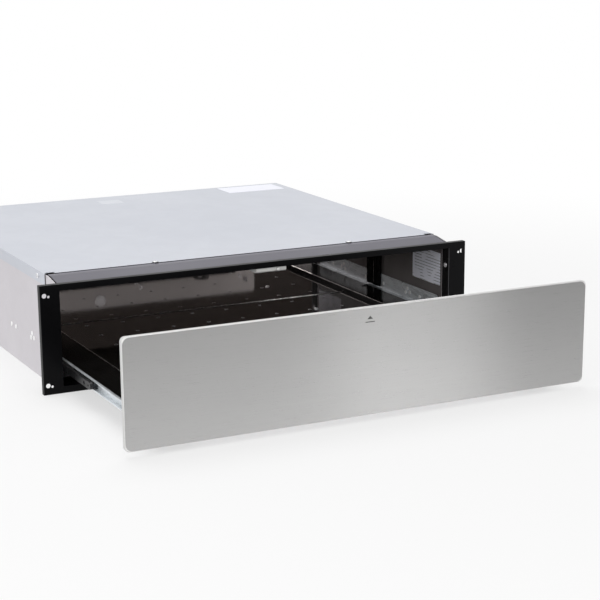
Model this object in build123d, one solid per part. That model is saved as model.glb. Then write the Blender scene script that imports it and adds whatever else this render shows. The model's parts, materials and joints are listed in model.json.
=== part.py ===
"""Built-in warming drawer, 60 cm wide and 14 cm high, drawn with its drawer part open.

X runs to the right, Y from the front frame's face into the casing and Z up. Heights in this file are
measured from the casing's underside. Every piece is lowered at the end, so that the origin is the
centre of the four fixing holes in the front frame, on the frame's face.
"""

from build123d import *
import math
import os

# ------------------------------------------------------------------ driving dimensions, mm
# Casing
case_width = 550.0  # over the cover's side lips
case_depth = 540.0  # frame's face to the rear panel's outer face
case_height = 139.0  # underside to the top of the cover
sheet = 0.8  # casing steel
liner_sheet = 0.6  # coated lining of the cavity
liner_gap = 3.0  # side panel shows between the frame's side return and the lining
lip_height = 13.8  # cover's side lips, below its sheet
rear_lip_height = 9.2
cover_start = 46.5  # depth of the cover's front edge
corner_notch = 7.0  # window in the cover beside each front corner
corner_slot = 2.2  # between the cover's lips and the side panels' front parts
cover_screw_shift = 7.5  # cover's front screws to the right of the quarter points
flange_width = 12.0  # folded joints between the casing's sheets
screw_r = 1.5  # casing and runner screws
pan_head_r = 3.3
pan_head_height = 1.5

# Front frame
frame_overlap = 22.0  # beyond the casing at each side
frame_drop = 4.0  # top edge below the cover's top
frame_sheet = 1.0
bottom_margin = 8.6  # frame under its opening
top_margin = 7.5
rim_return = 8.0  # outer edge folded back
side_return = 18.5  # inner edges folded back
floor_return = 40.0
base_lap = 0.4  # base and rear flanges above the opening's bottom
fixing_inset = 5.5  # fixing holes from the frame's side edges
fixing_low = 11.5  # and from its lower edge
fixing_drop = 12.5  # and from its top edge
fixing_r = 2.9
pilot_r = 1.6  # small hole beside each fixing hole
pilot_inset = 5.2
pilot_drop = 1.5

# Drawer front
panel_overlap = 0.5  # beyond the frame at each side
panel_drop = 0.7  # top edge below the frame's
panel_lift = 7.3  # lower edge above the casing's underside
panel_thickness = 5.5
panel_corner = 5.5
panel_skin = 0.8
backing_sheet = 0.8

# Travel
shut_gap = 2.0  # panel to frame when shut
drawn_open = 266.4  # how far the drawer stands open here

# Tray
rear_room = 67.8  # back wall's face to the rear panel when shut
tray_sheet = 0.8
front_wall_drop = 28.5  # top of the tray's front wall below the opening's top
back_wall_drop = 9.5
back_wing = 20.0  # back wall's side flanges, folded forward
wing_clear = 1.3  # back wall's flanges to the runner rails
tray_flange = 39.4  # tray's side flanges, from the step beside the floor outwards
floor_drop = 4.8  # floor below the side flanges
floor_sheet = 1.5
floor_ledge = 10.6  # shelf that carries the floor
under_clear = 10.0  # tray's underside above the casing's underside
vent_r = 1.5
vent_pitch_x = 50.6
vent_pitch_y = 55.5
vent_columns = 8
vent_rear_margin = 21.5  # last row to the back wall
vent_front_margin = 30.0  # least room in front of the first row
trim_width = 1.6
trim_height = 0.6

# Telescopic runners
runner_space = 12.7  # rail's face to the drawer channel's web
runner_height = 12.0
runner_mid = 30.5
runner_sheet = 1.2
rail_low = 12.0
rail_high = 57.0
rail_start = 32.0
rail_rear_room = 52.2  # rails end this far short of the rear panel
middle_shortening = 15.0  # middle member, against the fixed channel
middle_ahead = 90.0  # how far the middle member stands out of the frame here
flange_gap = 0.7  # between the two channels
channel_shortening = 12.8  # drawer's channel, against the tray
bead_step = 1.0  # the middle member's beads stop this far inside the channels' lips
neck_half_height = 2.5

# Warm air
element_r = 3.2
element_pitch = 66.0
element_runs = 6
wool_thickness = 7.0
reflector_sheet = 0.5
rotor_r = 20.0
rotor_length = 150.0
rotor_blades = 18
shaft_r = 2.5
blower_depth = 47.0
blower_height = 56.0
blower_drop = 10.0  # blower's top below the back wall's
duct_half_width = 60.0
duct_depth = 16.0

# Controls on the tray's front wall
control_width = 103.8
control_drop = 15.0  # controls' panel below the top of the tray's front wall
control_depth = 39.6
knob_inset = 32.6  # each control's centre from the step beside the floor
rocker_inset = 72.6
lamp_inset = 93.6
knob_r = 13.0
knob_height = 12.0
spindle_r = 3.0
rocker_r = 7.5
rocker_half_length = 5.0
rocker_tilt = 8.0
trunnion_r = 1.25
lamp_r = 2.5

# Push latch under the opening's top edge
latch_left = -12.0
latch_right = 30.0
latch_overtravel = 0.4  # plunger's front still stands out this far when pressed
latch_rear = 58.0
latch_thickness = 6.2
plunger_x = 18.0
plunger_below = 3.2  # plunger's axis below the opening's top
plunger_r = 2.0
plunger_length = 26.0
plunger_stroke = 3.0
spring_length = 16.0
spring_wire_r = 0.3
spring_turns = 6
striker_r = 9.0
striker_thickness = 1.2

# Terminals and lead at the rear
terminal_inset = 68.4  # from the side panel's inner face
terminal_size = (36.0, 24.0, 19.2)
gland_inset = 48.4
gland_height = 30.0
gland_r = 7.6
gland_flange = 2.5
cord_bore_r = 4.0
lead_r = 3.0

label_film = 0.15

# Fits
touch_clear = 0.3  # between pieces that pass or nest
running_clear = 0.06  # a shaft in its hole

# ------------------------------------------------------------------ places worked out from them
half_case = case_width / 2
frame_width = case_width + 2 * frame_overlap
frame_height = case_height - frame_drop
opening_bottom = bottom_margin
opening_top = frame_height - top_margin
fixing_spacing_x = frame_width - 2 * fixing_inset
fixing_spacing_z = frame_height - fixing_drop - fixing_low
panel_width = frame_width + 2 * panel_overlap
panel_height = frame_height - panel_drop - panel_lift
side_out = half_case - sheet  # side panel's outer face, inside the cover's lip
side_in = side_out - sheet
liner_in = side_in - liner_sheet
rail_face = liner_in - runner_sheet
opening_half = side_in - frame_sheet
base_wall_top = opening_bottom + base_lap
frame_half = frame_width / 2
cover_under = case_height - sheet
ceiling_low = opening_top + frame_sheet
ceiling_top = ceiling_low + liner_sheet
lip_low = cover_under - lip_height
rear_in = case_depth - sheet
rail_end = rear_in - rail_rear_room
tray_length = rear_in + shut_gap - rear_room
tray_front_top = opening_top - front_wall_drop
back_wall_top = opening_top - back_wall_drop
blower_high = back_wall_top - blower_drop
blower_low = blower_high - blower_height
middle_length = rail_end - rail_start - middle_shortening
drawer_channel_length = tray_length - channel_shortening
fixing_mid = fixing_low + fixing_spacing_z / 2

panel_back = -(shut_gap + drawn_open)
panel_front = panel_back - panel_thickness
panel_mid = panel_lift + panel_height / 2
panel_half = panel_width / 2
tray_front = panel_back + tray_sheet  # rear face of the tray's front wall
back_wall = panel_back + tray_length
back_wall_rear = back_wall + tray_sheet

channel_out = rail_face  # cabinet channel's back lies on the rail
channel_in = rail_face - runner_space  # drawer channel's web
channel_low = runner_mid - runner_height / 2
channel_high = runner_mid + runner_height / 2
split = (channel_out + channel_in) / 2
flange_top = channel_high + tray_sheet  # top of the tray's side flanges
channel_depth = runner_space / 2 - flange_gap / 2
flange_out = channel_in + channel_depth / 2 + 0.1
floor_half_width = flange_out - tray_flange
floor_top = flange_top - floor_drop
floor_low = floor_top - floor_sheet
ledge_low = floor_low - tray_sheet
wall_half_high = rail_face - wing_clear  # half width of the back wall, above the runners
wall_half_low = flange_out - 12.0  # and between them
wall_step = flange_top + 0.9
wall_low = under_clear + 2.0
floor_front = tray_front + touch_clear
floor_rear = back_wall - touch_clear
under_top = ledge_low - sheet
under_half = floor_half_width - 7.6
wool_low = under_clear + sheet
reflector_low = wool_low + wool_thickness
reflector_top = reflector_low + reflector_sheet
element_mid = reflector_top + element_r + 1.0
blower_rear = back_wall_rear + blower_depth
rotor_y = back_wall_rear + blower_depth / 2 + 1.5
rotor_z = (blower_low + blower_high) / 2
blower_half = rotor_length / 2 + 5.0
control_rear = tray_front + control_depth
control_y = tray_front + control_depth / 2
control_top = tray_front_top - control_drop
control_right = floor_half_width - 0.8
control_left = control_right - control_width + 0.8
knob_x = floor_half_width - knob_inset
rocker_x = floor_half_width - rocker_inset
lamp_x = floor_half_width - lamp_inset
latch_low = opening_top - latch_thickness
plunger_z = opening_top - plunger_below
plunger_tip = -shut_gap + striker_thickness + touch_clear + 0.1
latch_front = plunger_tip + plunger_stroke + latch_overtravel
spring_start = plunger_tip + plunger_length
terminal_x = side_in - terminal_inset
terminal_rear = rear_in - 14.0
terminal_front = terminal_rear - terminal_size[1]
gland_x = side_in - gland_inset


# ------------------------------------------------------------------ helpers
def block(x, y, z):
    """A box between the low and high values given for each axis."""
    size = [abs(b - a) for a, b in (x, y, z)]
    middle = [(a + b) / 2 for a, b in (x, y, z)]
    return Pos(*middle) * Box(*size)


def rod(start, direction, length, radius):
    """A round bar from a point along a direction."""
    bottom = (Align.CENTER, Align.CENTER, Align.MIN)
    return Plane(origin=start, z_dir=direction) * Cylinder(radius, length, align=bottom)


def along_x(points, x0, x1):
    """A prism from x0 to x1 whose outline is given as (depth, height) points."""
    face = Plane.YZ.offset(x0) * Polygon(*points, align=None)
    return extrude(face, amount=x1 - x0, dir=(1, 0, 0))


def along_y(points, y0, y1):
    """A prism from y0 to y1 whose outline is given as (x, height) points."""
    face = Plane.XZ.offset(-y1) * Polygon(*points, align=None)
    return extrude(face, amount=y1 - y0, dir=(0, -1, 0))


def upright_panel(width, height, corner, middle, y0, y1):
    """A plate facing the front, with rounded corners."""
    face = Plane.XZ.offset(-y1) * Pos(0, middle) * RectangleRounded(width, height, corner)
    return extrude(face, amount=y1 - y0, dir=(0, -1, 0))


def mirrored(shape):
    return mirror(shape, about=Plane.YZ)


def both(shape):
    """The shape and its mirror image across the centre line."""
    return [shape, mirrored(shape)]


def fuse(shapes):
    whole = shapes[0]
    for shape in shapes[1:]:
        whole = whole + shape
    return whole


def cut(shape, tools):
    for tool in tools:
        shape = shape - tool
    return shape


def pan_screw(seat, outward, depth, head_r=pan_head_r, head_height=pan_head_height):
    """A cross-head screw whose head stands on seat and whose shank goes depth the other way."""
    head = Cylinder(head_r, head_height, align=(Align.CENTER, Align.CENTER, Align.MIN))
    head = fillet(head.edges().filter_by(GeomType.CIRCLE).group_by(Axis.Z)[-1], 0.45 * head_height)
    for length, width in ((1.1, 0.28), (0.28, 1.1)):
        head -= Pos(0, 0, head_height) * Box(length * head_r, width * head_r, head_height)
    shank = Cylinder(screw_r, depth, align=(Align.CENTER, Align.CENTER, Align.MAX))
    return Plane(origin=seat, z_dir=outward) * (head + shank)


def save(name, shapes):
    """Writes one node, lowered so that the origin is the middle of the frame's fixing holes."""
    shapes = shapes if isinstance(shapes, list) else [shapes]
    solids = [s for shape in shapes for s in (Pos(0, 0, -fixing_mid) * shape).solids()]
    whole = solids[0] if len(solids) == 1 else Compound(children=solids)
    export_step(whole, f"parts/{name}.step")


# ------------------------------------------------------------------ places that several pieces share
frame_screw_y = rim_return + 1.6
frame_screw_heights = (34.0, opening_top - 24.7)
last_front_rivet = 196.0
rail_rivets = [(114.5, 44.4), (109.9, 50.5), (102.9, 45.9), (76.0, 45.1), (178.0, 44.5)]
rail_rivets.append((last_front_rivet, 44.5))
rear_rivet_room = 90.0
rail_rivets += [(rail_end - room, z) for room, z in ((rear_rivet_room, 44.4), (83.0, 50.5), (78.0, 45.9))]
lip_screw_depths = [cover_start + 26.5, case_depth / 2 + 20.0, case_depth - 35.0]
lip_screw_height = cover_under - 6.2
cover_screw_xs = [side * half_case / 2 + cover_screw_shift for side in (-1, 1)]
cover_screw_y = cover_start + 3.0
rear_lip_screw_xs = [side * (half_case - 75.0) for side in (-1, 0, 1)]
rear_lip_screw_height = case_height - 6.0
rear_screw_y = rear_in - flange_width / 2
rear_screw_heights = (25.0, lip_low - 14.4)
latch_screw_places = [(latch_left + 6.0, latch_front + 17.0), (latch_left + 6.0, latch_rear - 10.0)]
panel_screw_xs = (17.0 - flange_out, 177.0 - flange_out, flange_out - 177.0, flange_out - 17.0)
front_wall_mid = (flange_top + tray_front_top) / 2
panel_screw_heights = (front_wall_mid - 8.15, front_wall_mid + 11.85)
panel_screw_places = [(x, z) for x in panel_screw_xs for z in panel_screw_heights]
backing_screw_xs = [share * (panel_half - 27.5) for share in (-1, -1 / 3, 1 / 3, 1)]
backing_screw_heights = (panel_lift + 10.7, tray_front_top + 7.0)
backing_screw_places = [(x, z) for x in backing_screw_xs for z in backing_screw_heights]
striker_place = (plunger_x, plunger_z - 2.6)
striker_stub_r = 4.9
bumper_x = opening_half + 7.6
bumper_heights = (panel_lift + 14.7, panel_lift + panel_height - 22.3)
bumper_places = [(x, z) for x in (-bumper_x, bumper_x) for z in bumper_heights]
wall_screw_xs = (25.0 - under_half, 105.0 - under_half, under_half - 105.0, under_half - 25.0)
wall_screw_height = under_clear + 10.0
vent_slot_start = 93.4 - side_in


# ------------------------------------------------------------------ casing
def front_frame():
    face = block((-frame_half, frame_half), (0, frame_sheet), (0, frame_height))
    rim = block((-frame_half, frame_half), (0, rim_return), (0, frame_height))
    rim -= block(
        (-frame_half + frame_sheet, frame_half - frame_sheet),
        (frame_sheet, rim_return + 1),
        (frame_sheet, frame_height - frame_sheet),
    )
    frame = face + rim
    front_edges = frame.edges().filter_by(Plane.XZ).group_by(Axis.Y)[0]
    frame = fillet(front_edges, 0.7 * frame_sheet)
    frame -= block((-opening_half, opening_half), (-1, frame_sheet + 1), (opening_bottom, opening_top))
    corner = frame_sheet
    frame += block(
        (opening_half, side_in), (0, side_return), (opening_bottom + corner, opening_top - corner)
    )
    frame += block(
        (-side_in, -opening_half), (0, side_return), (opening_bottom + corner, opening_top - corner)
    )
    frame += block((-opening_half, opening_half), (0, flange_width), (opening_top, ceiling_low))
    frame += block(
        (-opening_half, opening_half), (0, floor_return), (opening_bottom - frame_sheet, opening_bottom)
    )
    holes = []
    for x in (-fixing_spacing_x / 2, fixing_spacing_x / 2):
        for z in (fixing_low, fixing_low + fixing_spacing_z):
            pilot_x = x - math.copysign(pilot_inset, x)
            holes.append(rod((x, -1, z), (0, 1, 0), frame_sheet + 2, fixing_r))
            holes.append(rod((pilot_x, -1, z - pilot_drop), (0, 1, 0), frame_sheet + 2, pilot_r))
    for z in frame_screw_heights:
        holes += both(rod((opening_half - 1, frame_screw_y, z), (1, 0, 0), 3 * frame_sheet, screw_r))
    return cut(frame, holes)


def frame_screws():
    screws = []
    for z in frame_screw_heights:
        seat = (opening_half, frame_screw_y, z)
        screws += both(pan_screw(seat, (-1, 0, 0), side_out - opening_half, head_height=1.1))
    return screws


ledge_front = (rim_return + touch_clear, frame_height - frame_sheet - 0.2)
ledge_bend_y = cover_start - 10.5
ledge_rear = cover_start + flange_width
ledge_half = side_in - 2.0
ledge_bend_r = 14.0


def front_top_rail():
    """Grey ledge from the frame's top edge up to the cover, turned down at the front."""
    front_y, front_z = ledge_front
    inside_y = front_y + sheet
    slope = (cover_under - front_z) / (ledge_bend_y - front_y)
    outline = [
        (front_y, ceiling_top),
        (front_y, front_z),
        (ledge_bend_y, cover_under),
        (ledge_rear, cover_under),
        (ledge_rear, cover_under - sheet),
        (ledge_bend_y, cover_under - sheet),
        (inside_y, front_z + slope * sheet - sheet),
        (inside_y, ceiling_top),
    ]
    rail = along_x(outline, -ledge_half, ledge_half)
    near_bend = (ledge_bend_y - 0.5, ledge_bend_y + 0.5)
    bends = rail.edges().filter_by(Axis.X).filter_by_position(Axis.Y, *near_bend)
    rail = fillet(bends.sort_by(Axis.Z)[-1:], ledge_bend_r)
    beside_flange = (side_in - flange_width - 0.4, side_in)
    tools = both(block(beside_flange, (cover_start - 1.5, case_depth), (ceiling_top, case_height)))
    for x in cover_screw_xs:
        tools.append(rod((x, cover_screw_y, ceiling_top), (0, 0, 1), flange_width, screw_r))
    return cut(rail, tools)


def side_panel():
    """Right side panel, with its top edge following the ledge and a flange under the cover."""
    behind_rim = rim_return + touch_clear
    outline = [
        (frame_sheet, frame_sheet),
        (behind_rim, frame_sheet),
        (behind_rim, 0),
        (rear_in, 0),
        (rear_in, cover_under),
        (ledge_bend_y, cover_under),
        (behind_rim, frame_height - frame_sheet),
        (frame_sheet, frame_height - frame_sheet),
    ]
    panel = along_x(outline, side_in, side_out)
    flange_start = ledge_rear + 2.0
    panel += block(
        (side_in - flange_width, side_in), (flange_start, rear_in), (cover_under - sheet, cover_under)
    )
    slot = (cover_start - corner_slot, cover_start)
    tools = [block((side_in - 1, side_out + 1), slot, (lip_low, case_height))]
    places = [(frame_screw_y, z) for z in frame_screw_heights]
    places += [(y, lip_screw_height) for y in lip_screw_depths]
    places += [(rear_screw_y, z) for z in rear_screw_heights]
    for y, z in places + rail_rivets:
        tools.append(rod((side_in - 1, y, z), (1, 0, 0), 3, screw_r))
    return cut(panel, tools)


def base_pan():
    floor = block((-side_in, side_in), (rim_return + touch_clear, rear_in), (0, sheet))
    wall_depths = (floor_return + sheet, rear_in - flange_width)
    wall = block((side_in - sheet, side_in), wall_depths, (sheet, base_wall_top))
    pan = fuse([floor] + both(wall))
    front_depths = (floor_return, floor_return + sheet)
    pan += block((-opening_half, opening_half), front_depths, (sheet, opening_bottom + touch_clear))
    for y in (120.0, case_depth / 2, case_depth - 120.0):
        for share in (-1, -1 / 3, 1 / 3, 1):
            slot = extrude(SlotOverall(44, 4), amount=sheet, both=True)
            pan -= Pos(share * vent_slot_start, y, 0) * slot
    return pan


def rear_panel():
    """Flat rear sheet with two rows of cooling slots and the cord's hole."""
    panel = block((-side_in, side_in), (rear_in, case_depth), (sheet, cover_under))
    tools = [rod((gland_x, rear_in - 1, gland_height), (0, 1, 0), 3 * sheet, gland_r + 0.1)]
    for z in (case_height / 2 + 0.5, case_height / 2 + 26.5):
        for i in range(12):
            place = Plane.XZ.offset(-case_depth) * Pos(vent_slot_start + 22.0 * i, z)
            slot = place * SlotOverall(20, 3, rotation=90)
            tools.append(extrude(slot, amount=sheet, both=True))
    for x in rear_lip_screw_xs:
        tools.append(rod((x, rear_in - 1, rear_lip_screw_height), (0, 1, 0), 4, screw_r))
    return cut(panel, tools)


def rear_brackets():
    """Strips welded to the rear panel: upright ones for its side screws, and one on the base."""
    depths = (rear_in - flange_width, rear_in)
    side_strip = block((side_in - sheet, side_in), depths, (base_wall_top, cover_under - sheet))
    for z in rear_screw_heights:
        side_strip -= rod((side_in - 2, rear_screw_y, z), (1, 0, 0), 3, screw_r)
    base_strip = block((2.0 - side_in, side_in - 2.0), depths, (sheet, 2 * sheet))
    return both(side_strip) + [base_strip]


def top_cover():
    cover = block((-half_case, half_case), (cover_start, case_depth + sheet), (cover_under, case_height))
    lip = block((side_out, half_case), (cover_start, case_depth), (lip_low, cover_under))
    cover = fuse([cover] + both(lip))
    rear_half = side_out - touch_clear
    rear_lip_low = cover_under - rear_lip_height
    cover += block((-rear_half, rear_half), (case_depth, case_depth + sheet), (rear_lip_low, cover_under))
    bends = cover.edges().filter_by(Axis.Y).group_by(Axis.Z)[-1]
    cover = chamfer(bends, 0.6 * sheet)
    notch = (cover_start - 1, cover_start + corner_notch)
    tools = both(block((side_in - flange_width, side_in), notch, (cover_under - 1, case_height + 1)))
    for x in cover_screw_xs:
        tools.append(rod((x, cover_screw_y, cover_under - 1), (0, 0, 1), 4, screw_r))
    for y in lip_screw_depths:
        tools += both(rod((side_out - 1, y, lip_screw_height), (1, 0, 0), 4, screw_r))
    for x in rear_lip_screw_xs:
        tools.append(rod((x, case_depth - 1, rear_lip_screw_height), (0, 1, 0), 4, screw_r))
    return cut(cover, tools)


def cover_screws():
    depth = 2 * sheet + 1.8
    screws = [pan_screw((x, cover_screw_y, case_height), (0, 0, 1), depth) for x in cover_screw_xs]
    for y in lip_screw_depths:
        screws += both(pan_screw((half_case, y, lip_screw_height), (1, 0, 0), depth))
    for x in rear_lip_screw_xs:
        screws.append(pan_screw((x, case_depth + sheet, rear_lip_screw_height), (0, 1, 0), depth))
    return screws


def cavity_ceiling():
    ceiling = block((-side_in, side_in), (frame_sheet, rear_in - flange_width), (ceiling_low, ceiling_top))
    holes = [rod((x, y, ceiling_low - 1), (0, 0, 1), 3, screw_r) for x, y in latch_screw_places]
    return cut(ceiling, holes)


def top_wool():
    """Mineral wool blanket that lies on the cavity's ceiling."""
    half = side_in - flange_width - 3.0
    ends = (ledge_rear + 3.5, rear_in - 15.0)
    return block((-half, half), ends, (ceiling_top, cover_under - sheet - touch_clear))


def side_liners():
    """Linings of the cavity, between the frame's returns and the rear panel's brackets."""
    ends = (side_return + liner_gap, rear_in - flange_width - touch_clear)
    wall = block((liner_in, side_in), ends, (opening_bottom + 0.7, ceiling_low))
    holes = [rod((liner_in - 1, y, z), (1, 0, 0), 3, screw_r) for y, z in rail_rivets]
    return both(cut(wall, holes))


def runner_rails():
    """Pressed strips on the linings that the fixed channels are welded to."""
    rail = block((rail_face, liner_in), (rail_start - 2, rail_end), (rail_low, rail_high))
    front_corner = rail.edges().filter_by(Axis.X).group_by(Axis.Y)[0].sort_by(Axis.Z)[-1:]
    rail = fillet(front_corner, 3.0)
    tools = [rod((rail_face - 1, y, z), (1, 0, 0), 4, screw_r) for y, z in rail_rivets]
    for i in range(5):
        y = rail_start + 11 + 5.2 * i
        tools.append(block((rail_face - 1, liner_in + 1), (y, y + 2.4), (42, 52)))
    plain_length = rail_end - rear_rivet_room - last_front_rivet
    for share in (0.22, 0.52, 0.82):
        y = last_front_rivet + share * plain_length
        slot = Plane.YZ.offset(rail_face - 1) * Pos(y, 47) * SlotOverall(22, 5)
        tools.append(extrude(slot, amount=4))
    return both(cut(rail, tools))


def runner_rail_rivets():
    rivets = []
    for y, z in rail_rivets:
        length = half_case - rail_face
        rivet = rod((rail_face, y, z), (1, 0, 0), length - sheet, screw_r)
        rivet += rod((side_out, y, z), (1, 0, 0), sheet, 2 * screw_r)
        rivet += rod((rail_face, y, z), (-1, 0, 0), 0.7, 1.7 * screw_r)
        rivets += both(rivet)
    return rivets


def channel_outline(web, toward, depth):
    """Outline of a runner channel: its web lies at web, its flanges reach depth the way toward points."""
    t = runner_sheet
    a, b, c = web, web + toward * t, web + toward * depth
    return [
        (a, channel_low),
        (c, channel_low),
        (c, channel_low + t),
        (b, channel_low + t),
        (b, channel_high - t),
        (c, channel_high - t),
        (c, channel_high),
        (a, channel_high),
    ]


def cabinet_channels():
    return both(along_y(channel_outline(channel_out, -1, channel_depth), rail_start, rail_end))


def drawer_channels():
    """Moving channels, welded under the tray's side flanges."""
    rear = tray_front + drawer_channel_length
    return both(along_y(channel_outline(channel_in, 1, channel_depth), tray_front, rear))


def runner_middle():
    """Right middle member: a bar with a bead in each channel and a neck between them."""
    wall = runner_sheet + touch_clear
    low, high = channel_low + wall, channel_high - wall
    left, right = channel_in + wall, channel_out - wall
    ends = (-middle_ahead, -middle_ahead + middle_length)
    inset = flange_gap / 2 + bead_step
    inner = block((left, split - inset), ends, (low, high))
    outer = block((split + inset, right), ends, (low, high))
    neck = (runner_mid - neck_half_height, runner_mid + neck_half_height)
    bar = inner + outer + block((split - 2 * inset, split + 2 * inset), ends, neck)
    envelope = block((left - 1, right + 1), ends, (low, high))
    bar = bar & fillet(envelope.edges().filter_by(Axis.X), 0.45 * (high - low))
    bar -= rod((left - 1, ends[0] + 21.4, runner_mid), (1, 0, 0), right - left + 2, 2.4)
    bar -= rod((right - 1.5, ends[0] + 7.0, runner_mid), (1, 0, 0), 3, 1.5)
    return bar


def latch_body():
    """Plastic push latch, screwed up under the cavity's ceiling behind the frame's top return."""
    body = block((latch_left, latch_right), (latch_front, latch_rear), (latch_low, opening_top))
    behind_return = flange_width + touch_clear
    body += block((latch_left, latch_right), (behind_return, latch_rear), (opening_top, ceiling_low))
    lower_front = body.edges().filter_by(Axis.X).group_by(Axis.Z)[0].sort_by(Axis.Y)[:1]
    body = chamfer(lower_front, 1.5)
    bore = plunger_r + running_clear
    bore_end = spring_start + spring_length
    tools = [rod((plunger_x, latch_front - 1, plunger_z), (0, 1, 0), bore_end - latch_front + 1, bore)]
    for x, y in latch_screw_places:
        tools.append(rod((x, y, latch_low - 1), (0, 0, 1), latch_thickness + 3, screw_r))
    return cut(body, tools)


def latch_plunger():
    pin = rod((plunger_x, plunger_tip, plunger_z), (0, 1, 0), plunger_length, plunger_r)
    return fillet(pin.edges().filter_by(GeomType.CIRCLE).sort_by(Axis.Y)[:1], 0.6)


def latch_spring():
    """Compression spring between the plunger and the blind end of its bore."""
    height = spring_length - 2 * spring_wire_r
    helix = Helix(pitch=height / spring_turns, height=height, radius=plunger_r - 1.5 * spring_wire_r)
    section = Plane(origin=helix @ 0, z_dir=helix % 0) * Circle(spring_wire_r)
    wire = sweep(section, path=helix, is_frenet=True)
    start = (plunger_x, spring_start + spring_wire_r, plunger_z)
    return Plane(origin=start, z_dir=(0, 1, 0)) * wire


def casing_screws():
    """Screws of the rear panel's side flanges, and those that hold the latch."""
    screws = []
    for z in rear_screw_heights:
        screws += both(pan_screw((side_out, rear_screw_y, z), (1, 0, 0), 2 * sheet + 1.5, head_height=0.8))
    for x, y in latch_screw_places:
        screws.append(pan_screw((x, y, latch_low), (0, 0, -1), ceiling_top - latch_low))
    return screws


def cord_gland():
    """Flanged bush in the rear panel that the supply cord passes through."""
    bush = rod((gland_x, rear_in - 6, gland_height), (0, 1, 0), 6 + sheet + gland_flange, gland_r)
    bush += rod((gland_x, case_depth, gland_height), (0, 1, 0), gland_flange, gland_r + 3.4)
    bush += rod((gland_x, rear_in - 4, gland_height), (0, 1, 0), 4, gland_r + 2.4)
    return bush - rod((gland_x, rear_in - 8, gland_height), (0, 1, 0), 14, cord_bore_r)


terminal_xs = [terminal_x + pitch for pitch in (-11.0, 0.0, 11.0)]
terminal_mid = (terminal_front + terminal_rear) / 2
clamp_low = 12.0


def terminal_block():
    half = terminal_size[0] / 2
    high = sheet + terminal_size[2]
    body = block((terminal_x - half, terminal_x + half), (terminal_front, terminal_rear), (sheet, high))
    tools = []
    for x in terminal_xs:
        tools.append(rod((x, terminal_mid, clamp_low), (0, 0, 1), high, 3.0))
        tools.append(rod((x, terminal_rear - 6, clamp_low - 2), (0, 1, 0), 7, 2.4))
    return cut(body, tools)


def terminal_screws():
    screws = []
    for x in terminal_xs:
        screw = rod((x, terminal_mid, clamp_low), (0, 0, 1), 6, 2.8)
        screws.append(screw - block((x - 3, x + 3), (terminal_mid - 0.4, terminal_mid + 0.4), (17, 19)))
    return screws


def earth_stud():
    place = (terminal_x - 45, rear_in - 22)
    stud = rod((*place, sheet), (0, 0, 1), 14, 2.0)
    washer = rod((*place, sheet), (0, 0, 1), 1.0, 5.0)
    nut = Pos(*place, sheet + 1) * extrude(RegularPolygon(4.0, 6), amount=3.2)
    return stud + washer + nut


lead_x = 150.0
lead_z = 20.0


def lead_route():
    """Points of the lead from the drawer's rear to the terminals, lying on the casing's floor."""
    floor = sheet + lead_r + 0.4
    return [
        (lead_x, back_wall_rear, lead_z),
        (lead_x, back_wall_rear + 30, lead_z),
        (lead_x - 4, back_wall_rear + 72, 11),
        (128, back_wall_rear + 116, floor),
        (92, back_wall_rear + 150, floor),
        (64, back_wall_rear + 190, floor),
        (74, back_wall_rear + 232, floor),
        (112, terminal_front - 30, floor),
        (154, terminal_front - 52, floor),
        (192, terminal_front - 56, 6),
        (terminal_x, terminal_front - 26, 9),
        (terminal_x, terminal_front, 9),
    ]


def drawer_lead():
    points = [Vector(*p) for p in lead_route()]
    radii = []
    for a, b, c in zip(points, points[1:], points[2:]):
        turn = (b - a).get_angle(c - b)
        shorter = min((b - a).length, (c - b).length)
        radii.append(0.45 * shorter / math.tan(math.radians(turn) / 2))
    print("lead radii", [round(r) for r in radii])
    path = FilletPolyline(*points, radius=radii)
    tube = sweep(Plane(origin=path @ 0, z_dir=path % 0) * Circle(lead_r), path=path)
    section_times_length = math.pi * lead_r**2 * path.length
    print("lead volume over section times length", round(tube.volume / section_times_length, 4))
    return tube


def side_label():
    """Blank sticker on the right lining, above the runner."""
    depths = (side_return + 5.5, side_return + 79.5)
    return block((liner_in - label_film, liner_in), depths, (rail_high + 14.0, opening_top - 11.5))


def cover_labels():
    heights = (case_height, case_height + label_film)
    large = block((half_case - 107, half_case - 13), (case_depth - 56, case_depth - 7), heights)
    small = block((-42, -8), (case_depth - 62, case_depth - 32), heights)
    return [large, small]


# ------------------------------------------------------------------ drawer front
def front_panel():
    """Brushed steel front, folded back all round like a shallow tray."""
    outer = upright_panel(panel_width, panel_height, panel_corner, panel_mid, panel_front, panel_back)
    outer = fillet(outer.edges().group_by(Axis.Y)[0], 1.1)
    inner_width = panel_width - 2 * panel_skin
    inner_height = panel_height - 2 * panel_skin
    inner_corner = panel_corner - panel_skin
    pocket = upright_panel(
        inner_width, inner_height, inner_corner, panel_mid, panel_front + panel_skin, panel_back + 1
    )
    return outer - pocket


def panel_filling(y0, y1):
    """A plate that fits inside the front's folded edges."""
    room = 2 * (panel_skin + touch_clear)
    corner = panel_corner - panel_skin
    return upright_panel(panel_width - room, panel_height - room, corner, panel_mid, y0, y1)


def panel_core():
    """Stiffening board between the front and its backing plate."""
    core = panel_filling(panel_front + panel_skin, panel_back - backing_sheet)
    places = panel_screw_places + backing_screw_places
    return cut(core, [rod((x, panel_back - 3, z), (0, 1, 0), 4, screw_r) for x, z in places])


def panel_backing():
    plate = panel_filling(panel_back - backing_sheet, panel_back)
    places = panel_screw_places + backing_screw_places
    holes = [rod((x, panel_back - 2, z), (0, 1, 0), 3, screw_r) for x, z in places]
    x, z = striker_place
    holes.append(rod((x, panel_back - 2, z), (0, 1, 0), 3, striker_stub_r + 0.1))
    return cut(plate, holes)


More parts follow.
